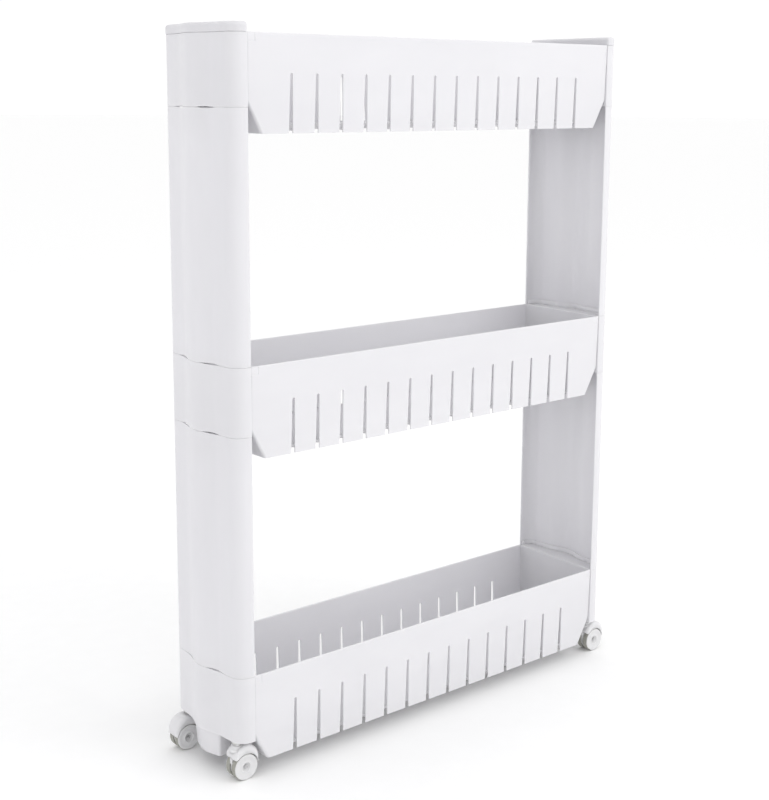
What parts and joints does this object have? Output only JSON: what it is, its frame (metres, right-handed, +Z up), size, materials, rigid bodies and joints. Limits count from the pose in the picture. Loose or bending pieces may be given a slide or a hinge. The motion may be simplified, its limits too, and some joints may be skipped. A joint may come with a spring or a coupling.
{
  "type": "rolling pantry cart",
  "caption": "Slim tiered pantry cart: slotted open trays between fluted channel end columns, rounded end caps, and small hooded twin-wheel swivel casters.",
  "frame": {"origin": "on the floor under the centre of the cart", "axes": "+X along the trays, +Y across the trays, +Z up"},
  "size_m": [0.546, 0.121, 0.729],
  "materials": {
    "tray_plastic": "satin white moulded plastic",
    "column_plastic": "satin white moulded plastic",
    "cap_plastic": "satin white moulded plastic",
    "caster_plastic": "white moulded plastic",
    "socket_plastic": "natural moulded plastic",
    "wheel_plastic": "white moulded plastic",
    "tread": "matt grey rubber",
    "steel": "plated steel pin"
  },
  "bodies": {
    "cart": {"tray_bottom": "tray_plastic", "tray_middle": "tray_plastic", "tray_top": "tray_plastic", "upright_lower_left": "column_plastic", "upright_lower_right": "column_plastic", "upright_upper_left": "column_plastic", "upright_upper_right": "column_plastic", "end_cap_left": "cap_plastic", "end_cap_right": "cap_plastic", "plug_bottom_left": "tray_plastic", "plug_bottom_right": "tray_plastic", "plug_middle_left": "tray_plastic", "plug_middle_right": "tray_plastic", "plug_top_left": "tray_plastic", "plug_top_right": "tray_plastic", "caster_front_left_socket": "socket_plastic", "caster_front_right_socket": "socket_plastic", "caster_rear_left_socket": "socket_plastic", "caster_rear_right_socket": "socket_plastic"},
    "caster_front_left": {"caster_front_left_stem": "steel", "caster_front_left_hood": "caster_plastic", "caster_front_left_axle": "steel"},
    "wheel_front_left_inner": {"caster_front_left_wheel_inner_hub": "wheel_plastic", "caster_front_left_wheel_inner_tread": "tread"},
    "wheel_front_left_outer": {"caster_front_left_wheel_outer_hub": "wheel_plastic", "caster_front_left_wheel_outer_tread": "tread"},
    "caster_front_right": {"caster_front_right_stem": "steel", "caster_front_right_hood": "caster_plastic", "caster_front_right_axle": "steel"},
    "wheel_front_right_inner": {"caster_front_right_wheel_inner_hub": "wheel_plastic", "caster_front_right_wheel_inner_tread": "tread"},
    "wheel_front_right_outer": {"caster_front_right_wheel_outer_hub": "wheel_plastic", "caster_front_right_wheel_outer_tread": "tread"},
    "caster_rear_left": {"caster_rear_left_stem": "steel", "caster_rear_left_hood": "caster_plastic", "caster_rear_left_axle": "steel"},
    "wheel_rear_left_inner": {"caster_rear_left_wheel_inner_hub": "wheel_plastic", "caster_rear_left_wheel_inner_tread": "tread"},
    "wheel_rear_left_outer": {"caster_rear_left_wheel_outer_hub": "wheel_plastic", "caster_rear_left_wheel_outer_tread": "tread"},
    "caster_rear_right": {"caster_rear_right_stem": "steel", "caster_rear_right_hood": "caster_plastic", "caster_rear_right_axle": "steel"},
    "wheel_rear_right_inner": {"caster_rear_right_wheel_inner_hub": "wheel_plastic", "caster_rear_right_wheel_inner_tread": "tread"},
    "wheel_rear_right_outer": {"caster_rear_right_wheel_outer_hub": "wheel_plastic", "caster_rear_right_wheel_outer_tread": "tread"}
  },
  "joints": [
    {"name": "caster_front_left_swivel", "type": "hinge", "parent": "cart", "child": "caster_front_left", "pos_m": [-0.253, -0.045, 0.038], "axis": [0, 0, 1], "continuous": true},
    {"name": "wheel_front_left_inner_spin", "type": "hinge", "parent": "caster_front_left", "child": "wheel_front_left_inner", "pos_m": [-0.248, -0.045, 0.0135], "axis": [0, 1, 0], "continuous": true},
    {"name": "wheel_front_left_outer_spin", "type": "hinge", "parent": "caster_front_left", "child": "wheel_front_left_outer", "pos_m": [-0.248, -0.045, 0.0135], "axis": [0, 1, 0], "continuous": true},
    {"name": "caster_front_right_swivel", "type": "hinge", "parent": "cart", "child": "caster_front_right", "pos_m": [0.253, -0.045, 0.038], "axis": [0, 0, 1], "continuous": true},
    {"name": "wheel_front_right_inner_spin", "type": "hinge", "parent": "caster_front_right", "child": "wheel_front_right_inner", "pos_m": [0.258, -0.045, 0.0135], "axis": [0, 1, 0], "continuous": true},
    {"name": "wheel_front_right_outer_spin", "type": "hinge", "parent": "caster_front_right", "child": "wheel_front_right_outer", "pos_m": [0.258, -0.045, 0.0135], "axis": [0, 1, 0], "continuous": true},
    {"name": "caster_rear_left_swivel", "type": "hinge", "parent": "cart", "child": "caster_rear_left", "pos_m": [-0.253, 0.045, 0.038], "axis": [0, 0, 1], "continuous": true},
    {"name": "wheel_rear_left_inner_spin", "type": "hinge", "parent": "caster_rear_left", "child": "wheel_rear_left_inner", "pos_m": [-0.258, 0.045, 0.0135], "axis": [0, 1, 0], "continuous": true},
    {"name": "wheel_rear_left_outer_spin", "type": "hinge", "parent": "caster_rear_left", "child": "wheel_rear_left_outer", "pos_m": [-0.258, 0.045, 0.0135], "axis": [0, 1, 0], "continuous": true},
    {"name": "caster_rear_right_swivel", "type": "hinge", "parent": "cart", "child": "caster_rear_right", "pos_m": [0.253, 0.045, 0.038], "axis": [0, 0, 1], "continuous": true},
    {"name": "wheel_rear_right_inner_spin", "type": "hinge", "parent": "caster_rear_right", "child": "wheel_rear_right_inner", "pos_m": [0.258, 0.045, 0.0135], "axis": [0, 1, 0], "continuous": true},
    {"name": "wheel_rear_right_outer_spin", "type": "hinge", "parent": "caster_rear_right", "child": "wheel_rear_right_outer", "pos_m": [0.258, 0.045, 0.0135], "axis": [0, 1, 0], "continuous": true}
  ]
}
